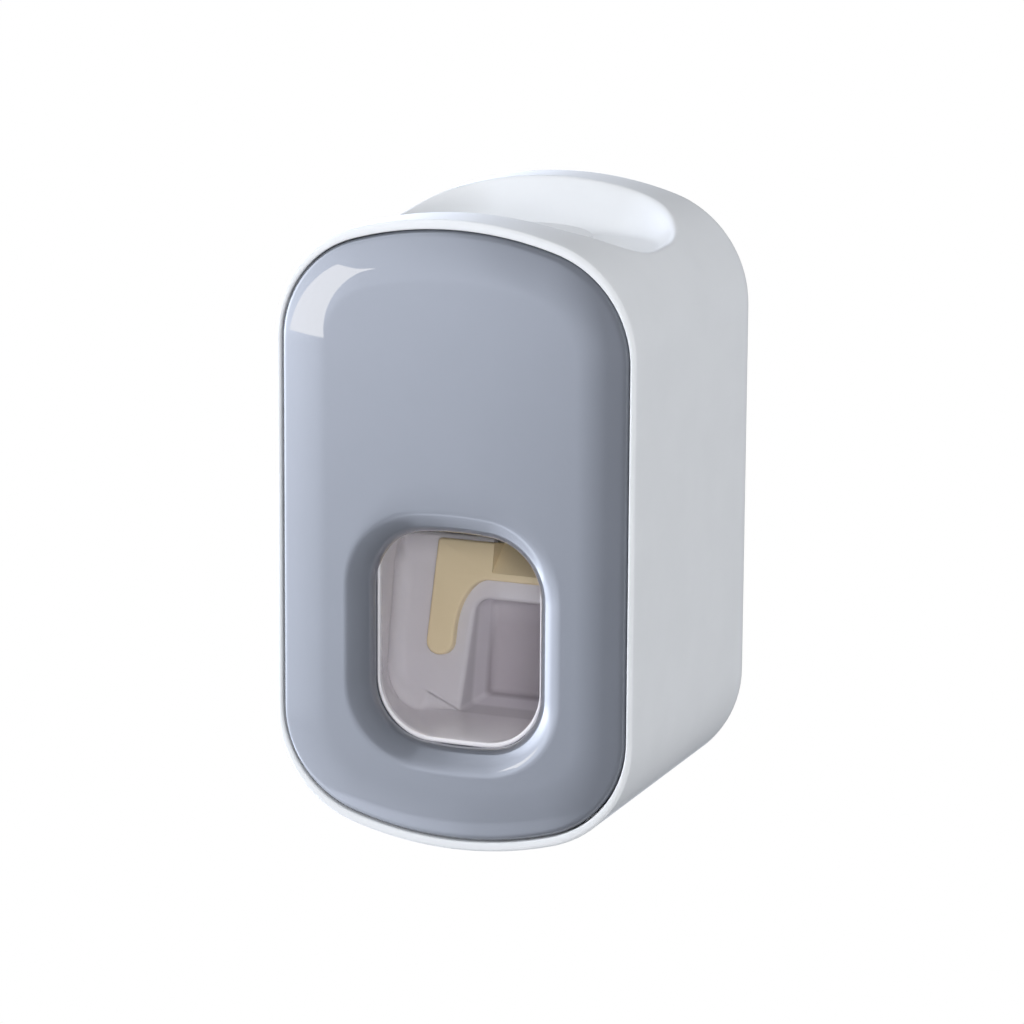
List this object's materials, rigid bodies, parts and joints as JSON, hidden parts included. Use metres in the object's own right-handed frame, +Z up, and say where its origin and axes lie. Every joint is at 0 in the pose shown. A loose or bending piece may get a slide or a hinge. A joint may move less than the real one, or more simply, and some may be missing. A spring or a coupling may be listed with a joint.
{
  "type": "toothpaste dispenser",
  "caption": "Wall-held squeezing toothpaste dispenser: tall rounded white case, glossy grey front with a brush window, push cup that works a bellows pump, tube dish on top.",
  "frame": {"origin": "centre of the adhesive pad's face on the wall", "axes": "+X to the right of someone facing the front, +Y into the wall, +Z up"},
  "size_m": [0.061, 0.0565, 0.102],
  "materials": {
    "white_plastic": "satin moulded white",
    "grey_gloss": "high-gloss cool grey",
    "smoke_plastic": "milky grey, slightly see-through",
    "beige_plastic": "smooth beige",
    "natural_plastic": "plain inner moulding",
    "silicone": "milky soft silicone",
    "foam": "closed-cell adhesive foam",
    "steel": "zinc-plated"
  },
  "bodies": {
    "wall_mount": {"adhesive_pad": "foam", "wall_plate": "white_plastic"},
    "housing": {"housing_shell": "white_plastic", "core_frame": "natural_plastic", "core_screws": "steel", "tube_seal": "silicone", "inlet_seat": "natural_plastic", "inlet_flap": "silicone", "pump_bellows": "silicone", "bellows_clamp": "natural_plastic", "return_spring_left": "steel", "return_spring_right": "steel"},
    "front_cover": {"front_panel": "grey_gloss"},
    "push": {"push_cup": "smoke_plastic", "push_yoke": "beige_plastic", "push_carriage": "natural_plastic", "cup_screws": "steel"},
    "nozzle_lift": {"nozzle_carriage": "natural_plastic", "duckbill_nozzle": "silicone", "nozzle_nut": "natural_plastic", "cam_pins": "steel"}
  },
  "joints": [
    {"name": "lift_off", "type": "slide", "parent": "wall_mount", "child": "housing", "axis": [0, 0, 1], "range_m": [0, 0.075]},
    {"name": "cover_pull", "type": "slide", "parent": "housing", "child": "front_cover", "axis": [0, -1, 0], "range_m": [0, 0.03]},
    {"name": "cup_push", "type": "slide", "parent": "housing", "child": "push", "axis": [0, 1, 0], "range_m": [0, 0.0075], "stiffness_N_per_m": 150, "springref_m": -0.004, "deforming": ["return_spring_left", "return_spring_right"]},
    {"name": "nozzle_rise", "type": "slide", "parent": "housing", "child": "nozzle_lift", "axis": [0, 0, 1], "range_m": [0, 0.006], "deforming": ["pump_bellows"]}
  ],
  "couplings": [
    {"joint": "nozzle_rise", "follows": "cup_push", "ratio": 0.8}
  ]
}
